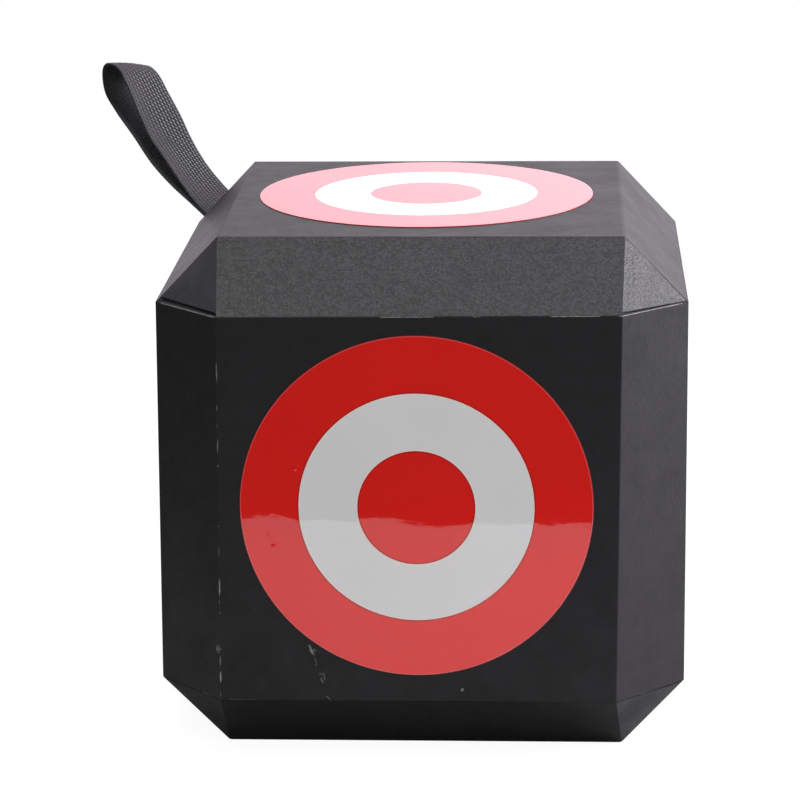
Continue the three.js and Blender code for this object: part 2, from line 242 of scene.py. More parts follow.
# The floor, in metres: it ends in front of the block, at a slant, which the front label mirrors
FLOOR_LEFT, FLOOR_RIGHT = -0.38, 2
FLOOR_FRONT, FLOOR_BACK = -0.4755, 0.9
FLOOR_SLANT = 0.06


def length_prop(name, description, millimetres):
    """A length, in the scene's own unit."""
    return bpy.props.FloatProperty(
        name=name, description=description, default=millimetres * MM, unit="LENGTH", min=0
    )


def colour_prop(name, description, default):
    return bpy.props.FloatVectorProperty(
        name=name, description=description, default=default, subtype="COLOR", min=0, max=1
    )


def count_prop(name, description, default, least):
    return bpy.props.IntProperty(name=name, description=description, default=default, min=least)


def light_prop(name, description, default):
    """The radiance of a lamp or backdrop."""
    return bpy.props.FloatProperty(name=name, description=description, default=default, min=0)


class FoamSettings(bpy.types.PropertyGroup):
    """Sizes and colours of the foam sheets."""

    skin_colour: colour_prop("Skin colour", "Colour of the foam's outer skin", (0.0185, 0.0178, 0.0192))
    # Partly rubbed wear, partly a painted highlight, pale enough to show on rims in shade
    rub_and_highlight_colour: colour_prop("Cut colour", "Colour of a rubbed cut edge", (0.31, 0.306, 0.31))
    cap_fold: length_prop("Cap fold", "Half width of the fold between the top face and its side bevels", 1.1)
    wrap_fold: length_prop("Wrap fold", "Half width of the fold at an upright edge", 0.5)
    rim: length_prop("Rim", "Width of the rubbed corner along a rim of the wrap", 0.32)
    cap_rim: length_prop("Cap rim", "Width of the rubbed corner along a rim of a cap sheet", 0.256)
    cut_edge: length_prop("Cut edge", "Width of the worn corner along any other cut edge", 0.1)
    closing: length_prop("Closing", "How far a sheet's cut edge is pressed towards its neighbour", 0.14)
    bow: length_prop("Bow", "How far the middle of a corner triangle stands proud", 0.45)


class LabelSettings(bpy.types.PropertyGroup):
    """Colours of the printed labels."""

    red: colour_prop("Red", "Printed red", (0.84, 0.016, 0.0105))
    # Painted light: the side labels' red is brighter low down, where they mirror the bright floor
    painted_light_red: colour_prop("Lower red", "Red low down on a side's label", (0.98, 0.0145, 0.0095))
    white: colour_prop("White", "Printed white", (0.87, 0.87, 0.865))
    # Painted reflection: the top label's red is tinted pinker for the pale light it mirrors
    faded_red: colour_prop("Faded red", "Red of the top label, pinker from light", (0.82, 0.016, 0.026))
    steps: count_prop("Steps", "Steps round each ring", 192, 24)
    edge: length_prop("Edge", "Rounding of the label's outer edge", 0.2)
    margin: length_prop("Margin", "Width of the line where two inks meet, or where the ink ends", 0.55)


class WebbingSettings(bpy.types.PropertyGroup):
    """Sizes and colour of the carry loop's webbing."""

    width: length_prop("Width", "Width of the webbing", 25)
    thickness: length_prop("Thickness", "Thickness of the webbing over its ribs", 1.5)
    ribs: count_prop("Ribs", "Ribs across the webbing, between its selvedges", 11, 1)
    knot: length_prop("Knot", "Length of one knot of the weave along the webbing", 2.2)
    relief: length_prop("Relief", "Height of the knots", 0.5)
    colour: colour_prop("Colour", "Colour of the yarn", (0.040, 0.039, 0.043))


class StageSettings(bpy.types.PropertyGroup):
    """Camera and lamps."""

    camera_place: bpy.props.FloatVectorProperty(
        name="Camera place",
        description="Where the camera stands",
        default=(0.0608964, -1.4128743, 0.5103961),
        subtype="TRANSLATION",
    )
    camera_turn: bpy.props.FloatVectorProperty(
        name="Camera turn",
        description="Yaw, downward pitch and roll of the camera",
        default=(0.053, 0.2597, -0.0116),
        subtype="EULER",
    )
    lens: bpy.props.FloatProperty(
        name="Lens", description="Focal length in millimetres on a 36 mm sensor", default=142.409, min=1
    )
    side: light_prop("Side lamp", "Radiance of the large soft box on the right", 9.8)
    key: light_prop("Key lamp", "Radiance of the smaller soft box above it", 7.2)
    slant: light_prop("Slanting lamp", "Radiance of the soft box at the front right", 1.6)
    overhead: light_prop("Overhead lamp", "Radiance of the soft box above", 1.3)
    fill: light_prop("Fill lamp", "Radiance of the soft box high in front", 3.2)
    rear: light_prop("Rear lamp", "Radiance of the soft box high at the back left", 0.93)
    backdrop: light_prop("Backdrop", "Brightness of the backdrop behind the block", 1.06)


SETTINGS = {
    "boss_foam": FoamSettings,
    "boss_labels": LabelSettings,
    "boss_webbing": WebbingSettings,
    "boss_stage": StageSettings,
}


def tinted(colour, factor):
    """A colour made lighter or darker."""
    return tuple(channel * factor for channel in colour)


class Wire:
    """A socket of a shader, with which sums are written as Python expressions."""

    def __init__(self, shader, socket):
        self.shader = shader
        self.socket = socket

    def maths(self, operation, *terms):
        return self.shader.node("Math", dict(enumerate(terms)), operation=operation)

    def __add__(self, other):
        return self.maths("ADD", self, other)

    def __sub__(self, other):
        return self.maths("SUBTRACT", self, other)

    def __rsub__(self, other):
        return self.maths("SUBTRACT", other, self)

    def __mul__(self, other):
        return self.maths("MULTIPLY", self, other)

    def __pow__(self, other):
        return self.maths("POWER", self, other)

    __radd__ = __add__
    __rmul__ = __mul__

    def capped(self):
        """The number, kept between 0 and 1."""
        return self.shader.node("Clamp", {"Value": self})

    def swing(self, factor):
        """How far a noise from 0 to 1 is off its middle, times a factor."""
        return (self - 0.5) * factor

    def above(self, low, high):
        """0 below low and 1 above high, with a smooth step between them."""
        inputs = {"Value": self, "From Min": low, "From Max": high}
        return self.shader.node("MapRange", inputs, interpolation_type="SMOOTHSTEP")

    def between(self, low, high, soft):
        """1 where the number lies between low and high, with a smooth step at each."""
        return self.above(low - soft, low + soft) - self.above(high - soft, high + soft)


class Shader:
    """The nodes of one material or of the world."""

    def __init__(self, owner):
        owner.use_nodes = True
        self.tree = owner.node_tree
        self.tree.nodes.clear()

    def node(self, kind, inputs=None, output=0, **settings):
        """Adds a node, sets it up, fills its sockets with values or wires, and gives one output."""
        made = self.tree.nodes.new("ShaderNode" + kind)
        for name, value in settings.items():
            setattr(made, name, value)
        for name, value in (inputs or {}).items():
            if isinstance(value, Wire):
                self.tree.links.new(value.socket, made.inputs[name])
            elif hasattr(value, "__len__") and len(made.inputs[name].default_value) > len(value):
                made.inputs[name].default_value = (*value, 1.0)
            else:
                made.inputs[name].default_value = value
        return Wire(self, made.outputs[output])

    def place(self, scale=None, turn=(0, 0, 0)):
        """Object coordinates, stretched and turned if a scale is given."""
        point = self.node("TexCoord", output="Object")
        if scale is None:
            return point
        return self.node("Mapping", {"Vector": point, "Scale": scale, "Rotation": turn})

    def painted(self, name):
        """A number that the mesh carries at its corners."""
        return self.node("Attribute", output="Fac", attribute_name=name)

    def ray(self, kind):
        """1 for the rays of a kind, such as those from the camera."""
        return self.node("LightPath", output=f"Is {kind} Ray")

    def speckle(self, place, size, detail=2.0, roughness=0.5):
        """Soft noise of about the given size, from 0 to 1."""
        inputs = {"Vector": place, "Scale": 1 / size, "Detail": detail, "Roughness": roughness}
        return self.node("TexNoise", inputs)

    def cells(self, place, size):
        """Distance from the nearest of many scattered points, 1 at about the given size."""
        return self.node("TexVoronoi", {"Vector": place, "Scale": 1 / size})

    def distance(self, place, point):
        """Distance in metres from a point that is given in millimetres."""
        centre = tuple(number * MM for number in point)
        return self.node("VectorMath", {0: place, 1: centre}, "Value", operation="DISTANCE")

    def blend(self, share, low, high):
        """A mixture of two colours. The sockets go by number, because their names occur more than once."""
        return self.node("Mix", {0: share, 6: low, 7: high}, 2, data_type="RGBA")

    def shades(self, share, colour, factors):
        """A mixture of two shades of one colour."""
        return self.blend(share, *(tinted(colour, factor) for factor in factors))

    def parts(self, vector):
        """The three numbers of a vector."""
        first = self.node("SeparateXYZ", {"Vector": vector})
        return [Wire(self, socket) for socket in first.socket.node.outputs]

    def relief(self, height, depth, strength=1.0, below=None):
        """A normal from a height that stands depth metres proud where it is 1."""
        inputs = {"Height": height, "Distance": depth, "Strength": strength}
        if below is not None:
            inputs["Normal"] = below
        return self.node("Bump", inputs)

    def surface(self, **inputs):
        """The finished surface. A name's underscores stand for spaces."""
        named = {name.replace("_", " "): value for name, value in inputs.items()}
        self.finish(self.node("BsdfPrincipled", named))

    def finish(self, shell, kind="OutputMaterial"):
        made = self.tree.nodes.new("ShaderNode" + kind)
        self.tree.links.new(shell.socket, made.inputs["Surface"])


MATERIALS = {}


def material_of(make, name, *values, **named):
    """Makes a material the first time it is asked for."""
    if name not in MATERIALS:
        MATERIALS[name] = bpy.data.materials.new(name)
        make(Shader(MATERIALS[name]), *values, **named)
    return MATERIALS[name]


# The finishes of the foam, as far as they differ from foam_skin's own values
# Besides grain and gloss, each shade makes a lit or a shaded copy of one foam: painted light and shade
FOAM_SKINS = {
    "wrap": {"grain": 0.25, "clouds": 0.6, "pores": 2.5, "sheen": 0.9},
    "cap": {"clouds": 0.6, "streaks": 0.6},
    # lighter, for the top strips: painted light, with a glossier, grainier skin
    "strip": {"shade": 1.42, "grain": 4.7, "grain_size": 0.85, "ior": 1.5},
    # darker, for the pieces low down, which lie in shade: painted shade
    "dull": {"shade": 0.65, "grain": 0.6, "clouds": 0.6, "ior": 1.15},
    "plain": {"shade": 0.6, "grain": 0.9, "clouds": 1.2},
    "triangle": {"shade": 2.3, "grain": 0.7, "clouds": 0.9, "ior": 1.4},
    "split": {
        "shade": 0.64,
        "grain": 7.0,
        "grain_size": 0.8,
        "clouds": 1.3,
        "creases": 0.35,
        "ior": 1.5,
        "sparkle": 0.8,
    },
}
SKIN_TONES = (0.5, 1.75)  # the darkest and the lightest tone, times the skin's colour
MEAN_TONE = 0.4
MEAN_ROUGHNESS = 0.5
COARSE_GRAIN = 2.6  # size of the coarse grain, times that of the fine one
COARSE_TONE = 0.35  # how strongly it shows in the tone, times the fine one
FINE_SHARE = 0.6  # the fine grain's share in the relief, the rest being coarse
CLOUD_SHARE = 0.6  # the clouds' share in the unevenness, the rest being patches
PORE_DEPTH = 0.11 * MM
LEAST_PORES = 0.5  # relief of a skin without grain, as a share of that depth
STREAK_GLOSS = 0.15  # how strongly the streaks show in the gloss, times the tone
CREASE_DEPTH = 0.35 * MM
BUMP_STRENGTH = 0.9


def foam_skin(
    shader,
    shade=1.0,
    grain=0.4,
    grain_size=0.9,
    clouds=0.5,
    streaks=0.0,
    creases=0.0,
    ior=1.25,
    pores=1.0,
    sparkle=0.1,
    sheen=0.35,
):
    """Closed-cell foam: fine grain, cloudy patches, and drag streaks where the sheet was rolled.

    grain, clouds, streaks and creases say how strongly each shows in the tone, pores how deep the grain is,
    and sparkle and sheen how strongly the grain and the clouds show in the gloss. grain_size is in
    millimetres.
    """
    colour = bpy.context.scene.boss_foam.skin_colour
    place = shader.place()
    fine = shader.speckle(place, size=grain_size * MM, detail=3, roughness=0.65)
    coarse = shader.speckle(place, size=grain_size * COARSE_GRAIN * MM)
    cloud = shader.speckle(place, size=26 * MM, detail=3, roughness=0.55)
    patch = shader.speckle(place, size=7 * MM)
    uneven = cloud.swing(CLOUD_SHARE) + patch.swing(1 - CLOUD_SHARE)
    tone = MEAN_TONE + fine.swing(grain) + coarse.swing(grain * COARSE_TONE) + uneven * clouds
    bumps = fine * FINE_SHARE + coarse * (1 - FINE_SHARE)
    rough = MEAN_ROUGHNESS - uneven * clouds * sheen - fine.swing(sparkle)
    if streaks:
        drawn = shader.speckle(shader.place(scale=(18, 80, 80)), size=1, detail=3, roughness=0.6)
        tone = tone + drawn.swing(streaks)
        rough = rough + drawn.swing(streaks * STREAK_GLOSS)
    depth = PORE_DEPTH * grain_size * (LEAST_PORES + grain) * pores
    normal = shader.relief(bumps, depth, BUMP_STRENGTH)
    if creases:
        slanted = shader.place(scale=(330, 330, 60), turn=(0, math.radians(-28), 0))
        fold = shader.speckle(slanted, size=1)
        # The creases' tone follows their relief: painted shade in their hollows and painted light on their
        # ridges
        tone = tone + fold.swing(creases)
        normal = shader.relief(fold, CREASE_DEPTH * creases, BUMP_STRENGTH, normal)
    mixed = shader.shades(tone.capped(), tinted(colour, shade), SKIN_TONES)
    shader.surface(Base_Color=mixed, Roughness=rough, Normal=normal, IOR=ior)


def skin_of(kind):
    return material_of(foam_skin, kind + "_foam", **FOAM_SKINS[kind])


CUT_DEPTH = 0.15 * MM
LIFTED_CUT_TONES = (3.6, 7.0)  # the tones of a cut edge, times the skin's colour, raised as painted light to lighten the shaded gaps


def cut_foam(shader):
    """A cut edge of the foam: dark open cells, made lighter as painted light in the shaded gaps."""
    cells = shader.speckle(shader.place(), size=0.7 * MM)
    colour = shader.shades(cells, bpy.context.scene.boss_foam.skin_colour, LIFTED_CUT_TONES)
    shader.surface(Base_Color=colour, Roughness=0.75, Normal=shader.relief(cells, CUT_DEPTH), IOR=1.25)


PALE_SHARE = 0.55  # how far a pale stretch takes the pale colour, and how strongly the grain breaks it up
PALE_BREAKS = 2.6
WANDER_PALENESS = 0.6  # how pale the stretches behind the front are


def rubbed_and_highlit_edge(shader, upper, lower):
    """The corner of a cut edge, pale in the given stretches at the front and here and there behind."""
    # The pale colour is partly rubbed wear, partly a painted highlight
    foam = bpy.context.scene.boss_foam
    place = shader.place()
    x, y, z = shader.parts(place)
    grain = shader.speckle(place, size=0.8 * MM, detail=3, roughness=0.7)
    wander = shader.speckle(place, size=22 * MM, detail=3, roughness=0.65).above(low=0.50, high=0.60)
    front = 1 - y.above(low=-84 * MM, high=-80 * MM)
    high = z.above(low=100 * MM, high=110 * MM)
    marked = 0
    for stretches, level in ((upper, high), (lower, 1 - high)):
        for low, far, paleness in stretches:
            marked = marked + x.between(low * MM, far * MM, PALE_END) * level * paleness
    paled = front * marked + (1 - front) * wander * WANDER_PALENESS
    share = paled * (PALE_SHARE + grain.swing(PALE_BREAKS))
    colour = shader.blend(share.capped(), tinted(foam.skin_colour, factor=0.9), foam.rub_and_highlight_colour)
    shader.surface(Base_Color=colour, Roughness=0.7, Normal=shader.relief(grain, CUT_DEPTH), IOR=1.3)


LIFTED_CORE_TONES = (16.0, 7.0)  # in the middle and at the wall of a cell, times the skin's colour, raised as painted light in the shaded gaps
CELL_TONE = 0.6
CLOUD_TONE = 0.3


def core_foam(shader):
    """Coarse core foam, as cut, made pale as painted light where it shows in the shaded gaps."""
    place = shader.place()
    cells = shader.cells(place, size=1.1 * MM)
    cloud = shader.speckle(place, size=15 * MM, detail=3)
    tone = cells * CELL_TONE + cloud * CLOUD_TONE
    colour = shader.shades(tone, bpy.context.scene.boss_foam.skin_colour, LIFTED_CORE_TONES)
    shader.surface(Base_Color=colour, Roughness=0.85, Normal=shader.relief(1 - cells, depth=0.3 * MM))


# Under the front label, in millimetres: the middle and the reach of two bubbles and of a shallow swelling
BUBBLES = (((-63.4, -115.3, 99.4), 1.7), ((-65.6, -115.3, 104.8), 0.9))
SWELLING = ((-63.0, -115.3, 118.5), 13)
BUBBLE_TOP = 0.1  # radius of a bubble's flat top, in millimetres
BUBBLE_SHARE = 0.8  # height of those two, times that of the scattered ones
SCATTERED_STEP = (0.02, 0.06)  # distances over which a scattered bubble falls off, in cells
SWELLING_HEIGHT = 0.27  # times the depth of the waves
BUBBLE_HEIGHT = 3  # times the depth of the ripples
WAVE_SIZE = 34 * MM


def label_ripple(shader):
    """The faint waves of a label stuck on foam, with a few bubbles."""
    place = shader.place()
    slow = shader.speckle(place, size=WAVE_SIZE, detail=1)
    quick = shader.speckle(place, size=7 * MM, roughness=0.45)
    dots = 1 - shader.cells(place, WAVE_SIZE).above(*SCATTERED_STEP)
    for middle, reach in BUBBLES:
        away = shader.distance(place, middle)
        dots = dots + (1 - away.above(BUBBLE_TOP * MM, reach * MM)) * BUBBLE_SHARE
    middle, reach = SWELLING
    swelling = (1 - shader.distance(place, middle).above(0, reach * MM)) * SWELLING_HEIGHT
    waves = shader.relief(slow + swelling, depth=0.15 * MM)
    return shader.relief(quick + dots * BUBBLE_HEIGHT, depth=0.022 * MM, below=waves)


PAINTED_LIGHT_HEIGHTS = (80 * MM, 136 * MM)  # heights over which a side's label turns from its brighter, painted-light red low down to its own red


def print_finish(shader, colour, lower=None):
    """Glossy printed vinyl, a little uneven in tone, with painted light low down if a lower colour is given.
    """
    tone = shader.shades(shader.speckle(shader.place(), size=40 * MM), colour, factors=(0.96, 1.04))
    if lower:
        # Painted light: low down on a side the ink turns to the brighter red
        height = shader.parts(shader.place())[2]
        tone = shader.blend(height.above(*PAINTED_LIGHT_HEIGHTS), lower, tone)
    shader.surface(Base_Color=tone, Roughness=0.02, Normal=label_ripple(shader), IOR=1.6)


def vinyl_rim(shader, colour):
    """The label's cut rim, with the ink worn at places."""
    tone = shader.shades(shader.speckle(shader.place(), size=8 * MM), colour, factors=(0.7, 1.3))
    shader.surface(Base_Color=tone, Roughness=0.35, IOR=1.5)


FIBRES = (900, 260, 1)  # fibres along and across the piece's UV map
FIBRE_TONE = 0.16
YARN_TONES = (0.22, 5.3)  # the darkest and the palest tone, times the yarn's colour: painted shade in the gaps, painted highlight on the knots
CREST_HIGHLIGHT = 1.12  # painted highlight on a crisp knot's back
FLAT_SHADING = (0.07, 0.17)  # tone in the gaps where the weave isn't crisp, and what the knots' backs add: painted shade and highlight
INNER_PAINTED_SHADE = 0.9  # painted shade: how much darker the inner side is
YARN_ROUGHNESS = (0.8, 0.25)  # in the gaps, and what the knots' backs take off


def yarn(shader):
    """Dark polypropylene yarn: painted highlights on its knots' backs, painted shade in its gaps, and fibres.
    """
    colour = bpy.context.scene.boss_webbing.colour
    spread = shader.node("UVMap", uv_map="UVMap")
    fibres = shader.speckle(shader.node("Mapping", {"Vector": spread, "Scale": FIBRES}), size=1)
    # Random patches in which the knots' painted highlights are crisp
    worn = shader.speckle(shader.place(), size=15 * MM).above(low=0.22, high=0.5)
    height = shader.painted("knot_height")
    inner = shader.painted("inner_side")
    crisp = shader.painted("crispness") * worn
    crest_light = height**4 * CREST_HIGHLIGHT
    flat = FLAT_SHADING[0] + height * FLAT_SHADING[1]
    tone = crest_light * crisp + flat * (1 - crisp) + fibres.swing(FIBRE_TONE)
    # Painted shade on the inner side of the band, which lies in shade
    shown = tone * (1 - INNER_PAINTED_SHADE * inner)
    shader.surface(
        Base_Color=shader.shades(shown.capped(), colour, YARN_TONES),
        Roughness=YARN_ROUGHNESS[0] - height * YARN_ROUGHNESS[1] * (1 - inner),
        Normal=shader.relief(fibres, depth=0.10 * MM),
        IOR=1.36,
    )


GLUE_COLOURS = ((0.05, 0.05, 0.052), (0.36, 0.355, 0.35))
GLUE_COVER = (0.45, 0.9)  # how well it hides the foam where it is thinnest, and what its thickness adds


def dried_glue(shader):
    """Dried contact glue: a dull pale film, thin at its ends and sides."""
    grain = shader.speckle(shader.place(), size=1.6 * MM)
    cover = shader.painted("cover") * (GLUE_COVER[0] + GLUE_COVER[1] * grain)
    shader.surface(
        Base_Color=shader.blend(shader.painted("paleness"), *GLUE_COLOURS),
        Roughness=0.6,
        Normal=shader.relief(grain, depth=0.08 * MM),
        IOR=1.4,
        Alpha=cover.capped(),
    )


def deselect_all():
    bpy.ops.object.select_all(action="DESELECT")


def take(piece):
    """Makes a piece the only selected and the active one."""
    deselect_all()
    piece.select_set(True)
    bpy.context.view_layer.objects.active = piece


def open_mesh(piece, kind="EDGE", action="DESELECT"):
    """Takes a piece into edit mode, with nothing or all of it selected."""
    take(piece)
    bpy.ops.object.mode_set(mode="EDIT")
    bpy.ops.mesh.select_mode(type=kind)
    bpy.ops.mesh.select_all(action=action)
    return bmesh.from_edit_mesh(piece.data)


def close_mesh(piece):
    bmesh.update_edit_mesh(piece.data)
    bpy.ops.object.mode_set(mode="OBJECT")


def open_faces(piece, chosen):
    """Takes a piece into edit mode, with those faces selected for which chosen(face) holds."""
    for face in open_mesh(piece, "FACE").faces:
        face.select_set(chosen(face))
    bmesh.update_edit_mesh(piece.data)


def apply_modifier(piece, kind, **settings):
    take(piece)
    modifier = piece.modifiers.new(kind.lower(), kind)
    for name, value in settings.items():
        setattr(modifier, name, value)
    bpy.ops.object.modifier_apply(modifier=modifier.name)


def smooth(piece):
    """Smooth shading over roundings, flat shading over flat faces."""
    take(piece)
    bpy.ops.object.shade_smooth_by_angle(angle=math.radians(32))
    apply_modifier(piece, "WEIGHTED_NORMAL", keep_sharp=True, weight=80)


def turn_outwards(piece):
    """Turns all faces of a piece that is in edit mode outwards, and closes it."""
    bpy.ops.mesh.select_all(action="SELECT")
    bpy.ops.mesh.normals_make_consistent(inside=False)
    close_mesh(piece)


def plane_distance(face):
    """How far a face's plane lies from the block's centre, less than 0 where it faces the centre."""
    return face.normal.dot(face.calc_center_median() - BLOCK_CENTRE)


def stands_outside(face):
    """True for a face of the block's own outside, and not for a cut edge or the glued side."""
    return plane_distance(face) > OUTSIDE


def is_cut(face):
    """True for a cut edge of the sheet, which is neither its outside nor its glued side."""
    return abs(plane_distance(face)) < CUT


def is_slit(face):
    """True for one of the two ends of the wrap, which meet at an upright edge of the block."""
    return is_cut(face) and abs(face.normal.z) < UPRIGHT


def is_fold(edge):
    """A bend between two outer faces of one sheet."""
    return all(stands_outside(face) for face in edge.link_faces) and edge.calc_face_angle() > SHARP_BEND


def is_outer_cut(edge):
    """The corner between an outer face and a cut edge of the sheet."""
    outside = [stands_outside(face) for face in edge.link_faces]
    return outside[0] != outside[1]


def is_rim(edge):
    """The corner between an outer face and a cut edge that doesn't run straight up."""
    way = edge.verts[1].co - edge.verts[0].co
    return is_outer_cut(edge) and abs(way.z) < way.length * LEVEL_RUN


def stray_of(fold, height):
    """How far a fold strays at a height, in metres."""
    low, high = STRAYS[fold]
    share = min(max((height - WRAP_LOW.z) / (WRAP_HIGH.z - WRAP_LOW.z), 0), 1)
    return Vector((low[0] + (high[0] - low[0]) * share, 0, low[1] + (high[1] - low[1]) * share)) * MM


def let_stray(piece):
    """Shifts the corners of a foam piece as the folds near them stray."""
    for vertex in piece.data.vertices:
        for fold in STRAYS:
            if math.hypot(vertex.co.x - fold[0] * MM, vertex.co.y - fold[1] * MM) < STRAY_REACH:
                vertex.co += stray_of(fold, vertex.co.z)
                break


def add_slots(mesh, count):
    """Empty material slots, because a bevel only uses slots that exist."""
    for _ in range(count):
        mesh.materials.append(None)


def foam_copy(node):
    """A merged copy of a foam node's mesh, with whole flat faces, as a new piece."""
    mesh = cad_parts[node].data.copy()
    piece = bpy.data.objects.new(node + "_foam", mesh)
    bpy.context.scene.collection.objects.link(piece)
    mesh.materials.clear()
    add_slots(mesh, CUT_SLOT + 1)
    open_mesh(piece, action="SELECT")
    bpy.ops.mesh.remove_doubles(threshold=0.02 * MM)
    bpy.ops.mesh.customdata_custom_splitnormals_clear()
    bpy.ops.mesh.dissolve_limited(angle_limit=math.radians(0.5))
    close_mesh(piece)
    let_stray(piece)
    return piece


def round_edges(piece, chosen, width, segments, slot=-1):
    """Rounds the edges for which chosen(edge) holds."""
    mesh = open_mesh(piece)
    found = [edge for edge in mesh.edges if len(edge.link_faces) == 2 and chosen(edge)]
    for edge in found:
        edge.select_set(True)
    bmesh.update_edit_mesh(piece.data)
    if found:
        bpy.ops.mesh.bevel(
            offset=width,
            offset_type="OFFSET",
            segments=segments,
            affect="EDGES",
            material=slot,
            clamp_overlap=True,
        )
    close_mesh(piece)


def close_seams(piece, reach, chosen):
    """Presses the faces for which chosen(face) holds towards the sheet's neighbours."""
    shifts = {}
    for face in open_mesh(piece, "FACE").faces:
        if chosen(face):
            for vertex in face.verts:
                shifts[vertex] = shifts.get(vertex, Vector()) + face.normal * reach
    for vertex, shift in shifts.items():
        vertex.co += shift
    close_mesh(piece)


def mark_cuts(piece):
    """Gives the cut edges their own material."""
    for face in open_mesh(piece, "FACE").faces:
        if face.material_index == 0 and is_cut(face):
            face.material_index = CUT_SLOT
    close_mesh(piece)


def place_on_block(piece, node, materials):
    """Gives a piece its materials, and lets it stand for a node of the block."""
    for index, material in enumerate(materials):
        piece.data.materials[index] = material
    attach(piece, "block")
    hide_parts(node)


def finish_foam(piece, node, skin, rim=None):
    """Marks the cut edges, smooths the piece, and gives it its materials and its place on the block."""
    mark_cuts(piece)
    smooth(piece)
    place_on_block(piece, node, (skin, rim or skin, material_of(cut_foam, "foam_cut")))


def make_sheet(node, kind, edge, fold=0, rim=None, pressed=is_cut, worn=is_outer_cut):
    """A sheet, closed up to its neighbours where pressed(face) holds and worn where worn(edge) holds."""
    piece = foam_copy(node)
    close_seams(piece, bpy.context.scene.boss_foam.closing, pressed)
    if fold:
        round_edges(piece, is_fold, fold, FOLD_STEPS)
    round_edges(piece, worn, edge, EDGE_STEPS, RIM_SLOT)
    finish_foam(piece, node, skin_of(kind), rim)


class BOSS_OT_sheets(bpy.types.Operator):
    """Model the side wrap, the top and bottom sheets with their soft folds, and the four strips"""

    bl_idname = "boss.sheets"
    bl_label = "Sheets and strips"

    def execute(self, context):
        foam = context.scene.boss_foam
        # The rims' pale stretches are partly rubbed wear and partly a painted highlight
        rim = material_of(rubbed_and_highlit_edge, "wrap_rim", PALE_TOP, PALE_BOTTOM)
        make_sheet("side_wrap", "wrap", foam.rim, foam.wrap_fold, rim, pressed=is_slit, worn=is_rim)
        rim = material_of(rubbed_and_highlit_edge, "cap_rim", PALE_CAP, ())
        for level in LEVELS:
            make_sheet(f"{level}_sheet", "cap", foam.cap_rim, foam.cap_fold, rim)
        for depth in DEPTHS:
            # The top strips are painted lighter and the bottom ones darker: painted light and shade
            for level, kind in zip(LEVELS, ("strip", "dull")):
                make_sheet(f"{depth}_{level}_strip", kind, foam.cut_edge)
        return {"FINISHED"}


def open_gap(piece, name, sx, sy, sz):
    """Draws the triangle's outer edge back from the rim and from the cap, which leaves slanted gaps."""
    by_strip, far, off_cap, _ = TRIANGLES[name]
    outward = Vector((sx, sy, sz)).normalized()
    middle = sum((vertex.co for vertex in piece.data.vertices), Vector()) / len(piece.data.vertices)
    outer = [vertex for vertex in piece.data.vertices if (vertex.co - middle).dot(outward) > 0]
    tip = max((vertex.co for vertex in outer), key=lambda point: point.z * sz).copy()
    rim = min(vertex.co.z * sz for vertex in outer)
    for vertex in outer:
        if vertex.co.z * sz > rim + RIM_BAND:
            continue
        by_the_strip = abs(vertex.co.y) > abs(vertex.co.x)
        gap = (by_strip if by_the_strip else far) * MM
        along = tip - vertex.co
        vertex.co += along * (gap / abs(along.z))
        if not by_the_strip:
            vertex.co += Vector((-sx, sy, 0)).normalized() * (off_cap * MM)


def bow(piece, rise):
    """Divides the outer face and lets it stand a little proud, unevenly, between its edges."""
    open_faces(piece, stands_outside)
    bpy.ops.mesh.quads_convert_to_tris()
    bpy.ops.mesh.subdivide(number_cuts=BOW_CUTS)
    mesh = bmesh.from_edit_mesh(piece.data)
    outer = [face for face in mesh.faces if stands_outside(face)]
    ends = [[vertex.co.copy() for vertex in edge.verts] for edge in mesh.edges if is_outer_cut(edge)]
    outward = sum((face.normal for face in outer), Vector()).normalized()
    shifts = {}
    for vertex in {vertex for face in outer for vertex in face.verts}:
        near = min((vertex.co - (a + b) / 2).length - (a - b).length / 2 for a, b in ends)
        share = 1 - math.exp(-max(near, 0) / BOW_FADE)
        dent = noise.noise(vertex.co / DENT_SIZE)
        shifts[vertex] = share * rise * (1 + DENT_SHARE * dent)
    for vertex, shift in shifts.items():
        vertex.co += outward * shift
    close_mesh(piece)


class BOSS_OT_triangles(bpy.types.Operator):
    """Model the eight triangles that close the cube's cut corners"""

    bl_idname = "boss.triangles"
    bl_label = "Corner triangles"

    def execute(self, context):
        foam = context.scene.boss_foam
        for name, (_, _, _, kind) in TRIANGLES.items():
            signs = [1 if word in ("right", "back", "top") else -1 for word in name.split("_")]
            node = name + "_triangle"
            piece = foam_copy(node)
            close_seams(piece, foam.closing, is_cut)
            open_gap(piece, name, signs[1], signs[0], signs[2])
            bow(piece, foam.bow)
            round_edges(piece, is_outer_cut, foam.cut_edge, FINE_EDGE_STEPS, RIM_SLOT)
            finish_foam(piece, node, skin_of(kind))
        return {"FINISHED"}


class BOSS_OT_core(bpy.types.Operator):
    """Model the four slabs of the laminated core"""

    bl_idname = "boss.core"
    bl_label = "Core slabs"

    def execute(self, context):
        for node in sorted(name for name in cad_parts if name.startswith("core_slab")):
            piece = foam_copy(node)
            smooth(piece)
            piece.data.materials.clear()
            add_slots(piece.data, 1)
            place_on_block(piece, node, [material_of(core_foam, "core_foam")])
        return {"FINISHED"}


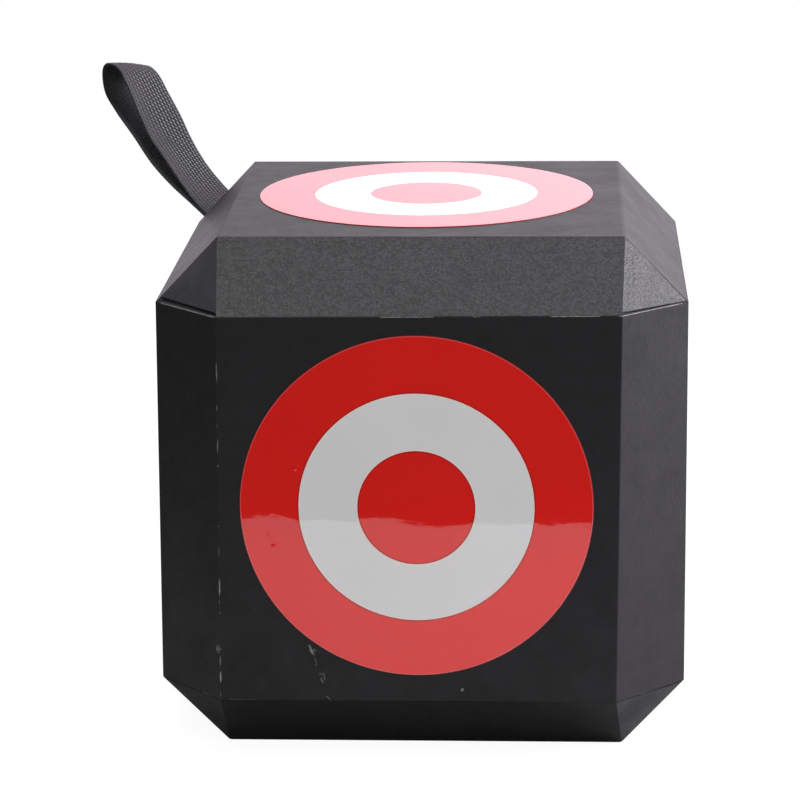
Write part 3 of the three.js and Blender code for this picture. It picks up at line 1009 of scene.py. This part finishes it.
def ring_blank(name, inner, outer, thickness, steps):
    """A flat ring, or a disc where inner is 0, standing on the XY plane."""
    deselect_all()
    bpy.ops.mesh.primitive_circle_add(vertices=steps, radius=outer, fill_type="NGON")
    piece = bpy.context.object
    piece.name = name
    add_slots(piece.data, OUTER_LINE_SLOT + 1)
    open_mesh(piece, "FACE", "SELECT")
    if inner:
        bpy.ops.mesh.inset(thickness=outer - inner, depth=0)
        bpy.ops.mesh.delete(type="FACE")
        bpy.ops.mesh.select_all(action="SELECT")
    bpy.ops.mesh.extrude_region_move(TRANSFORM_OT_translate={"value": (0, 0, thickness)})
    turn_outwards(piece)
    return piece


def is_printed(face):
    """True for a face on the printed side of a ring that still lies on the XY plane."""
    return face.normal.z > FACING_UP


def add_margins(piece, width, middle):
    """Sets off a thin line along each border of the printed side, on either side of the middle radius."""
    open_faces(piece, is_printed)
    bpy.ops.mesh.inset(thickness=width, depth=0)
    for face in bmesh.from_edit_mesh(piece.data).faces:
        if is_printed(face) and not face.select:
            inside = face.calc_center_median().length < middle
            face.material_index = INNER_LINE_SLOT if inside else OUTER_LINE_SLOT
    close_mesh(piece)


class BOSS_OT_labels(bpy.types.Operator):
    """Model the rings of the six target labels"""

    bl_idname = "boss.labels"
    bl_label = "Target labels"

    def finishes(self, labels, face):
        """The printed side, the rim, and the lines inside and outside, for each kind of ring."""
        if face == "top":
            # The top label's pinker red is a painted reflection
            red = material_of(print_finish, "faded_red_ink", labels.faded_red)
        else:
            # The side labels' red is painted brighter low down, standing in for the floor they mirror
            red = material_of(print_finish, "red_ink", labels.red, labels.painted_light_red)
        white = material_of(print_finish, "white_ink", labels.white)
        red_line = material_of(print_finish, "red_overlap", tinted(labels.red, factor=0.55))
        white_line = material_of(print_finish, "white_overlap", colour=(1.0, 0.86, 0.80))
        edge_line = material_of(print_finish, "red_margin", colour=(0.82, 0.10, 0.11))
        rim = material_of(vinyl_rim, "vinyl_rim", tinted(labels.red, factor=0.35))
        return {
            "bull": (red, rim, red_line, red_line),
            "middle_ring": (white, rim, white_line, white_line),
            "outer_ring": (red, rim, red_line, edge_line),
        }

    def round_outside(self, piece, middle, level, width):
        """Rounds the edge beyond the middle radius and above the given level."""

        def chosen(edge):
            placed = all(vertex.co.z > level and vertex.co.length > middle for vertex in edge.verts)
            return placed and edge.calc_face_angle() > STEEP

        round_edges(piece, chosen, width, FINE_EDGE_STEPS, RIM_SLOT)

    def stick(self, piece, face, place):
        """Moves a ring to its face, and on the left face shifts it as the foam under it strays."""
        piece.matrix_world = place
        take(piece)
        bpy.ops.object.transform_apply(location=True, rotation=True, scale=True)
        if face == "left":
            for vertex in piece.data.vertices:
                vertex.co.x += stray_of(LEFT_FRONT_FOLD, vertex.co.z).x

    def execute(self, context):
        labels = context.scene.boss_labels
        for face, directions in FACES.items():
            outward, across = (Vector(way) for way in directions)
            bull_low, bull_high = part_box(f"{face}_bull")
            thickness, _, diameter = sorted(bull_high - bull_low)
            width = diameter / 2
            foot = (bull_low + bull_high) / 2 - outward * thickness / 2
            turn = Matrix((across, outward.cross(across), outward)).transposed().to_4x4()
            for index, (ring, finishes) in enumerate(self.finishes(labels, face).items()):
                node = f"{face}_{ring}"
                outer = (index + 1) * width
                middle = outer - width / 2
                piece = ring_blank(node + "_print", index * width, outer, thickness, labels.steps)
                add_margins(piece, labels.margin, middle)
                if ring == "outer_ring":
                    self.round_outside(piece, middle, thickness / 2, labels.edge)
                self.stick(piece, face, Matrix.Translation(foot) @ turn)
                smooth(piece)
                slot = "white_print" if ring == "middle_ring" else "red_print"
                place_on_block(piece, node, finishes)
        return {"FINISHED"}


def glue_bead(start, end, width, outward, paleness):
    """A thin uneven bead between two points of a surface, half sunk in it."""
    along = Vector(end) - Vector(start)
    deselect_all()
    bpy.ops.mesh.primitive_uv_sphere_add(segments=16, ring_count=18, radius=1)
    bead = bpy.context.object
    side = Vector(outward).cross(along).normalized()
    axes = Matrix((side, Vector(outward), along.normalized())).transposed()
    middle = (Vector(start) + Vector(end)) / 2
    cover = []
    for vertex in bead.data.vertices:
        reach = vertex.co.z * along.length / 2
        mean, swing, length = GLUE_SWELL
        swell = mean + swing * noise.noise(Vector((reach / length, middle.x, middle.z)))
        swing, length = GLUE_DRIFT
        drift = swing * width * noise.noise(Vector((middle.z, reach / length, middle.x)))
        ends = 1 - abs(vertex.co.z) ** 3
        section = max(math.sqrt(1 - min(vertex.co.z**2, 1)), GLUE_TIP)
        sides = 1 - min(abs(vertex.co.x) / section, 1) ** 2
        cover.append(ends * sides)
        breadth = vertex.co.x * width * GLUE_SIDE * swell + drift
        local = Vector((breadth, vertex.co.y * GLUE_HEIGHT, reach))
        vertex.co = (middle + axes @ local) * MM
    for name, values in (("cover", cover), ("paleness", [paleness] * len(cover))):
        bead.data.attributes.new(name, "FLOAT", "POINT").data.foreach_set("value", values)
    return bead


class BOSS_OT_glue(bpy.types.Operator):
    """Lay the thin beads of dried glue along the front left fold and on the front face"""

    bl_idname = "boss.glue"
    bl_label = "Dried glue"

    def fold_beads(self, fold):
        """Beads along the fold, which face halfway between the two walls that meet there."""
        slant = Vector((-1, -1 - math.sqrt(2), 0)).normalized()
        for high, low, width, paleness in FOLD_GLUE:
            ends = []
            for height in (high, low):
                foot = fold - slant * GLUE_SUNK + stray_of(FRONT_LEFT_FOLD, height * MM) / MM
                ends.append(Vector((foot.x, foot.y, height)))
            yield glue_bead(*ends, width, slant, paleness)

    def face_beads(self, fold):
        """Beads on the front face, which lie back on the bevel where they pass the fold."""
        for x0, z0, x1, z1, width, paleness in FACE_GLUE:
            edge = fold.x + stray_of(FRONT_LEFT_FOLD, z0 * MM).x / MM
            ends = [(x, fold.y + max(edge - x, 0), z) for x, z in ((x0, z0), (x1, z1))]
            yield glue_bead(*ends, width, (0, -1, 0), paleness)

    def execute(self, context):
        fold = Vector((-SIDE_HALF / MM, -HALF / MM, 0))
        beads = [*self.fold_beads(fold), *self.face_beads(fold)]
        deselect_all()
        for bead in beads:
            bead.select_set(True)
        context.view_layer.objects.active = beads[0]
        bpy.ops.object.join()
        piece = context.object
        piece.name = "dried_glue"
        open_mesh(piece)
        turn_outwards(piece)
        bpy.ops.object.shade_smooth()
        piece.data.materials.append(material_of(dried_glue, "dried_glue"))
        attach(piece, "block")
        return {"FINISHED"}


def smooth_line(points, per_span):
    """Points on the centripetal Catmull-Rom curve through the given ones."""
    given = np.array(points, float)
    ends = np.vstack([2 * given[0] - given[1], given, 2 * given[-1] - given[-2]])
    found = []
    for i in range(len(given) - 1):
        a, b, c, d = ends[i : i + 4]
        da, db, dc = (np.linalg.norm(q - p) ** 0.5 for p, q in ((a, b), (b, c), (c, d)))
        out = ((b - a) / da - (c - a) / (da + db) + (c - b) / db) * db
        into = ((c - b) / db - (d - b) / (db + dc) + (d - c) / dc) * db
        for s in np.linspace(0, 1, per_span, endpoint=False):
            found.append(
                b + out * s + (3 * c - 3 * b - 2 * out - into) * s**2 + (2 * b - 2 * c + out + into) * s**3
            )
    found.append(given[-1])
    return np.array(found)


class StrapBend:
    """Bends a flat band between the middle lines of its two selvedges: tail, loop and tail."""

    def __init__(self):
        low, high = ([(n, height) * 2 for n in TAIL_LINE] for height in PLY_HEIGHTS)
        self.line = smooth_line([*low, *LOOP_LINES, *reversed(high)], LINE_STEPS)
        middle = (self.line[:, :2] + self.line[:, 2:]) / 2
        steps = np.linalg.norm(np.diff(middle, axis=0), axis=1)
        self.reach = np.concatenate([[0], np.cumsum(steps)])
        self.length = self.reach[-1]

    def at(self, distance, share):
        """Points between the lines, share of the way to the far one, at distances along the band."""
        found = np.stack([np.interp(distance, self.reach, column) for column in self.line.T], 1)
        near, far = found[:, :2], found[:, 2:]
        return near + (far - near) * share[:, None]

    def bend(self, flat, width):
        """Flat points (along, across, height) in millimetres to points of the part, in metres."""
        share = 0.5 - flat[:, 1] / width
        along = self.at(flat[:, 0] + AIM_STEP, share) - self.at(flat[:, 0] - AIM_STEP, share)
        along /= np.linalg.norm(along, axis=1)[:, None]
        here = self.at(flat[:, 0], share)
        from_nose = (flat[:, 0] - self.length / 2) / CROWN_REACH
        height = flat[:, 2] - CROWN * np.sin(math.pi * np.clip(share, 0, 1)) * np.exp(-(from_nose**2))
        n = here[:, 0] - along[:, 1] * height
        t = here[:, 1] + along[:, 0] * height
        axes = np.array([STRAP_OUT, STRAP_UP, STRAP_ACROSS])
        return np.array(SEAM_POINT) + MM * (np.stack([n, t, -flat[:, 1]], 1) @ axes)


def knot_height(along, across, settings):
    """Height of the weave at points of the band, from 0 in the gaps to 1 on the knots."""
    ribbed = settings.width / MM - 2 * SELVEDGE
    pitch = ribbed / settings.ribs
    knot = settings.knot / MM
    inner = across - SELVEDGE
    column = np.floor(inner / pitch)
    from_rib = (inner / pitch - column - 0.5) * 2
    shifted = along / knot + 0.5 * (column % 2) + KNOT_SLANT * from_rib
    from_knot = (shifted - np.floor(shifted) - 0.5) * 2
    away = (from_rib / KNOT_SHARE[0]) ** 2 + (from_knot / KNOT_SHARE[1]) ** 2
    body = np.sqrt(np.clip(1 - away, 0, 1))
    cord = CORD_HEIGHT[0] + CORD_HEIGHT[1] * np.cos(2 * math.pi * along / (knot / 2))
    return np.where((inner < 0) | (inner > ribbed), cord, body)


def ramp(values, low, high):
    """0 below low and 1 above high, with a smooth step between them."""
    share = np.clip((values - low) / (high - low), 0, 1)
    return share * share * (3 - 2 * share)


def quarter_round(share):
    """Rises from 0 to 1 as a quarter of a circle does."""
    return np.sqrt(np.clip(1 - (1 - np.clip(share, 0, 1)) ** 2, 0, 1))


class BOSS_OT_webbing(bpy.types.Operator):
    """Weave the one length of webbing that makes the carry loop and its buried tails"""

    bl_idname = "boss.webbing"
    bl_label = "Webbing"

    def blank(self):
        """A thin flat sheet of square cells, one wide and one long."""
        deselect_all()
        along, across = WEAVE_CELLS
        bpy.ops.mesh.primitive_grid_add(x_subdivisions=along, y_subdivisions=across, size=1, calc_uvs=True)
        piece = bpy.context.object
        piece.name = "carry_webbing"
        apply_modifier(piece, "SOLIDIFY", thickness=0.5, offset=0)
        return piece

    def weave(self, flat, length, settings):
        """Gives the sheet's points their place on the flat band, and tells the yarn how it lies at each."""
        width = settings.width / MM
        stops = (0, TAIL_SHARE, 1 - TAIL_SHARE, 1)
        along = np.interp(flat[:, 0] + 0.5, stops, (0, -TAIL_END, length + TAIL_END, length))
        across = flat[:, 1] * width
        upper = np.sign(flat[:, 2])
        height = knot_height(along, across + width / 2, settings)
        from_block = np.minimum(along, length - along) + TAIL_END
        from_nose = np.abs(along - length / 2)
        from_edge = width / 2 - np.abs(across)
        by_block = LEAST_CRISP + (1 - LEAST_CRISP) * ramp(from_block, low=12, high=46)
        by_edge = ramp(width / 2 - across, low=2, high=13)
        crispness = by_edge * ramp(from_nose, low=7, high=19) * by_block
        lip = (1 - ramp(from_edge, low=1.1, high=2.1)) * ramp(from_nose, low=14, high=34)
        # Where the yarn gets painted shade: the inner side, but not the lip along its near edge
        inner = (upper + 1) / 2 * (1 - lip)
        half = settings.thickness / MM / 2
        depth = np.where(upper > 0, INNER_RELIEF, OUTER_RELIEF + (1 - OUTER_RELIEF) * crispness)
        shown = BURIED_RELIEF + (1 - BURIED_RELIEF) * np.clip(from_block / BURIED_FADE, 0, 1)
        sunk = (1 - height) * (settings.relief / MM) * depth * shown
        flat[:, 0] = along
        flat[:, 1] = across
        flat[:, 2] = upper * (LIP + (half - LIP - sunk) * quarter_round(from_edge / SELVEDGE))
        return {"knot_height": height, "inner_side": inner, "crispness": crispness}

    def execute(self, context):
        settings = context.scene.boss_webbing
        path = StrapBend()
        piece = self.blank()
        mesh = piece.data
        flat = np.zeros(len(mesh.vertices) * 3)
        mesh.vertices.foreach_get("co", flat)
        flat = flat.reshape(-1, 3)
        for name, values in self.weave(flat, path.length, settings).items():
            layer = mesh.attributes.new(name, "FLOAT", "POINT")
            layer.data.foreach_set("value", values.astype(np.float32))
        mesh.vertices.foreach_set("co", path.bend(flat, settings.width / MM).ravel())
        mesh.update()
        take(piece)
        bpy.ops.object.shade_smooth()
        mesh.materials.append(material_of(yarn, "webbing_yarn"))
        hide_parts("strap_tails", "strap_loop")
        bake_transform(piece)
        return {"FINISHED"}


def lamp(name, radiance, way, distance, size, colour):
    """A square soft box that stands in the given direction from the block and is aimed at it."""
    data = bpy.data.lights.new(name, "AREA")
    data.shape = "SQUARE"
    data.size = size
    data.energy = radiance * math.pi * size * size
    data.color = colour
    made = bpy.data.objects.new(name, data)
    outward = Vector(way).normalized()
    made.location = BLOCK_CENTRE + outward * distance
    made.rotation_mode = "QUATERNION"
    made.rotation_quaternion = (-outward).to_track_quat("-Z", "Y")
    bpy.context.scene.collection.objects.link(made)


# The backdrop's brightness at its left, what it gains to its middle, and the shares it loses to its right
# and to its top
LEFT_LEVEL = 0.75
MIDDLE_GAIN = 0.47
RIGHT_LOSS = 0.25
TOP_LOSS = 0.6
GLOSS_GAIN = 0.45  # how much brighter it is to glossy rays
ROOM_LEVEL = 0.07
ROOM_COLOUR = (1.03, 0.96, 1.05)


def studio_world(backdrop):
    """White to the camera, and to the object a pale backdrop behind with a dim room in front."""
    world = bpy.data.worlds.new("studio")
    bpy.context.scene.world = world
    shader = Shader(world)
    x, y, z = shader.parts(shader.node("TexCoord", output="Generated"))
    behind = y.above(low=-0.02, high=0.5) * x.above(low=-1.0, high=-0.45)
    rise = LEFT_LEVEL + MIDDLE_GAIN * x.above(low=-0.25, high=0.1)
    slope = rise * (1 - x.above(low=0.1, high=0.45) * RIGHT_LOSS)
    dim = slope * (1 - z.above(low=0.45, high=1.0) * TOP_LOSS)
    seen = shader.ray("Camera")
    level = ROOM_LEVEL + behind * dim * backdrop * (1 + GLOSS_GAIN * shader.ray("Glossy"))
    colour = shader.blend(seen, ROOM_COLOUR, NEUTRAL)
    shell = shader.node("Background", {"Color": colour, "Strength": seen + (1 - seen) * level})
    shader.finish(shell, "OutputWorld")


FLOOR_GREYS = (0.30, 0.85, 0.15)  # as a lit surface, in the object's gloss, and under the camera's glow
FLOOR_GLOW = 0.93


def pale_floor(shader):
    """A white table that keeps a trace of the object's soft shadow."""
    bounce, mirrored, tint = (shader.node("BsdfDiffuse", {"Color": (grey,) * 3}) for grey in FLOOR_GREYS)
    table = shader.node("MixShader", {0: shader.ray("Glossy"), 1: bounce, 2: mirrored})
    glow = shader.node("Emission", {"Color": NEUTRAL, "Strength": FLOOR_GLOW})
    shown = shader.node("AddShader", {0: tint, 1: glow})
    shader.finish(shader.node("MixShader", {0: shader.ray("Camera"), 1: table, 2: shown}))


class BOSS_OT_stage(bpy.types.Operator):
    """Set up the camera, the pale floor and the soft lamps"""

    bl_idname = "boss.stage"
    bl_label = "Stage"

    def make_floor(self):
        deselect_all()
        bpy.ops.mesh.primitive_plane_add(size=1)
        floor = bpy.context.object
        floor.name = "floor"
        floor.data.materials.append(material_of(pale_floor, "pale_floor"))
        for vertex in floor.data.vertices:
            vertex.co.x = FLOOR_RIGHT if vertex.co.x > 0 else FLOOR_LEFT
            vertex.co.y = FLOOR_FRONT + FLOOR_SLANT * vertex.co.x if vertex.co.y < 0 else FLOOR_BACK

    def make_camera(self, stage):
        yaw, pitch, roll = stage.camera_turn
        place = Matrix.Translation(stage.camera_place)
        for angle, axis in ((yaw, "Z"), (math.pi / 2 - pitch, "X"), (roll, "Z")):
            place = place @ Matrix.Rotation(angle, 4, axis)
        data = bpy.data.cameras.new("camera")
        data.lens = stage.lens
        data.sensor_width = 36
        data.clip_start = 0.05
        camera = bpy.data.objects.new("camera", data)
        camera.matrix_world = place
        bpy.context.scene.collection.objects.link(camera)
        bpy.context.scene.camera = camera

    def execute(self, context):
        stage = context.scene.boss_stage
        self.make_floor()
        self.make_camera(stage)
        for name, (way, distance, size, colour) in LAMPS.items():
            lamp(f"{name}_lamp", getattr(stage, name), way, distance, size, colour)
        studio_world(stage.backdrop)
        context.scene.view_settings.view_transform = "Standard"
        return {"FINISHED"}


class BOSS_PT_panel(bpy.types.Panel):
    """Lists the pieces in the order in which they are made"""

    bl_idname = "BOSS_PT_panel"
    bl_label = "Target boss"
    bl_space_type = "VIEW_3D"
    bl_region_type = "UI"
    bl_category = "Target boss"

    def draw(self, context):
        for group in SETTINGS:
            box = self.layout.box()
            settings = getattr(context.scene, group)
            for name in settings.bl_rna.properties.keys():
                if name not in ("rna_type", "name"):
                    box.prop(settings, name)
        for operator in OPERATORS:
            self.layout.operator(operator.bl_idname)


OPERATORS = (
    BOSS_OT_stage,
    BOSS_OT_sheets,
    BOSS_OT_triangles,
    BOSS_OT_core,
    BOSS_OT_labels,
    BOSS_OT_glue,
    BOSS_OT_webbing,
)


def register():
    for kind in (*SETTINGS.values(), *OPERATORS, BOSS_PT_panel):
        bpy.utils.register_class(kind)
    for group, kind in SETTINGS.items():
        setattr(bpy.types.Scene, group, bpy.props.PointerProperty(type=kind))


def unregister():
    for group in SETTINGS:
        delattr(bpy.types.Scene, group)
    for kind in reversed((*SETTINGS.values(), *OPERATORS, BOSS_PT_panel)):
        bpy.utils.unregister_class(kind)


def main():
    register()
    bpy.ops.boss.stage()
    bpy.ops.boss.sheets()
    bpy.ops.boss.triangles()
    bpy.ops.boss.core()
    bpy.ops.boss.labels()
    bpy.ops.boss.glue()
    bpy.ops.boss.webbing()


if __name__ == "__main__":
    main()
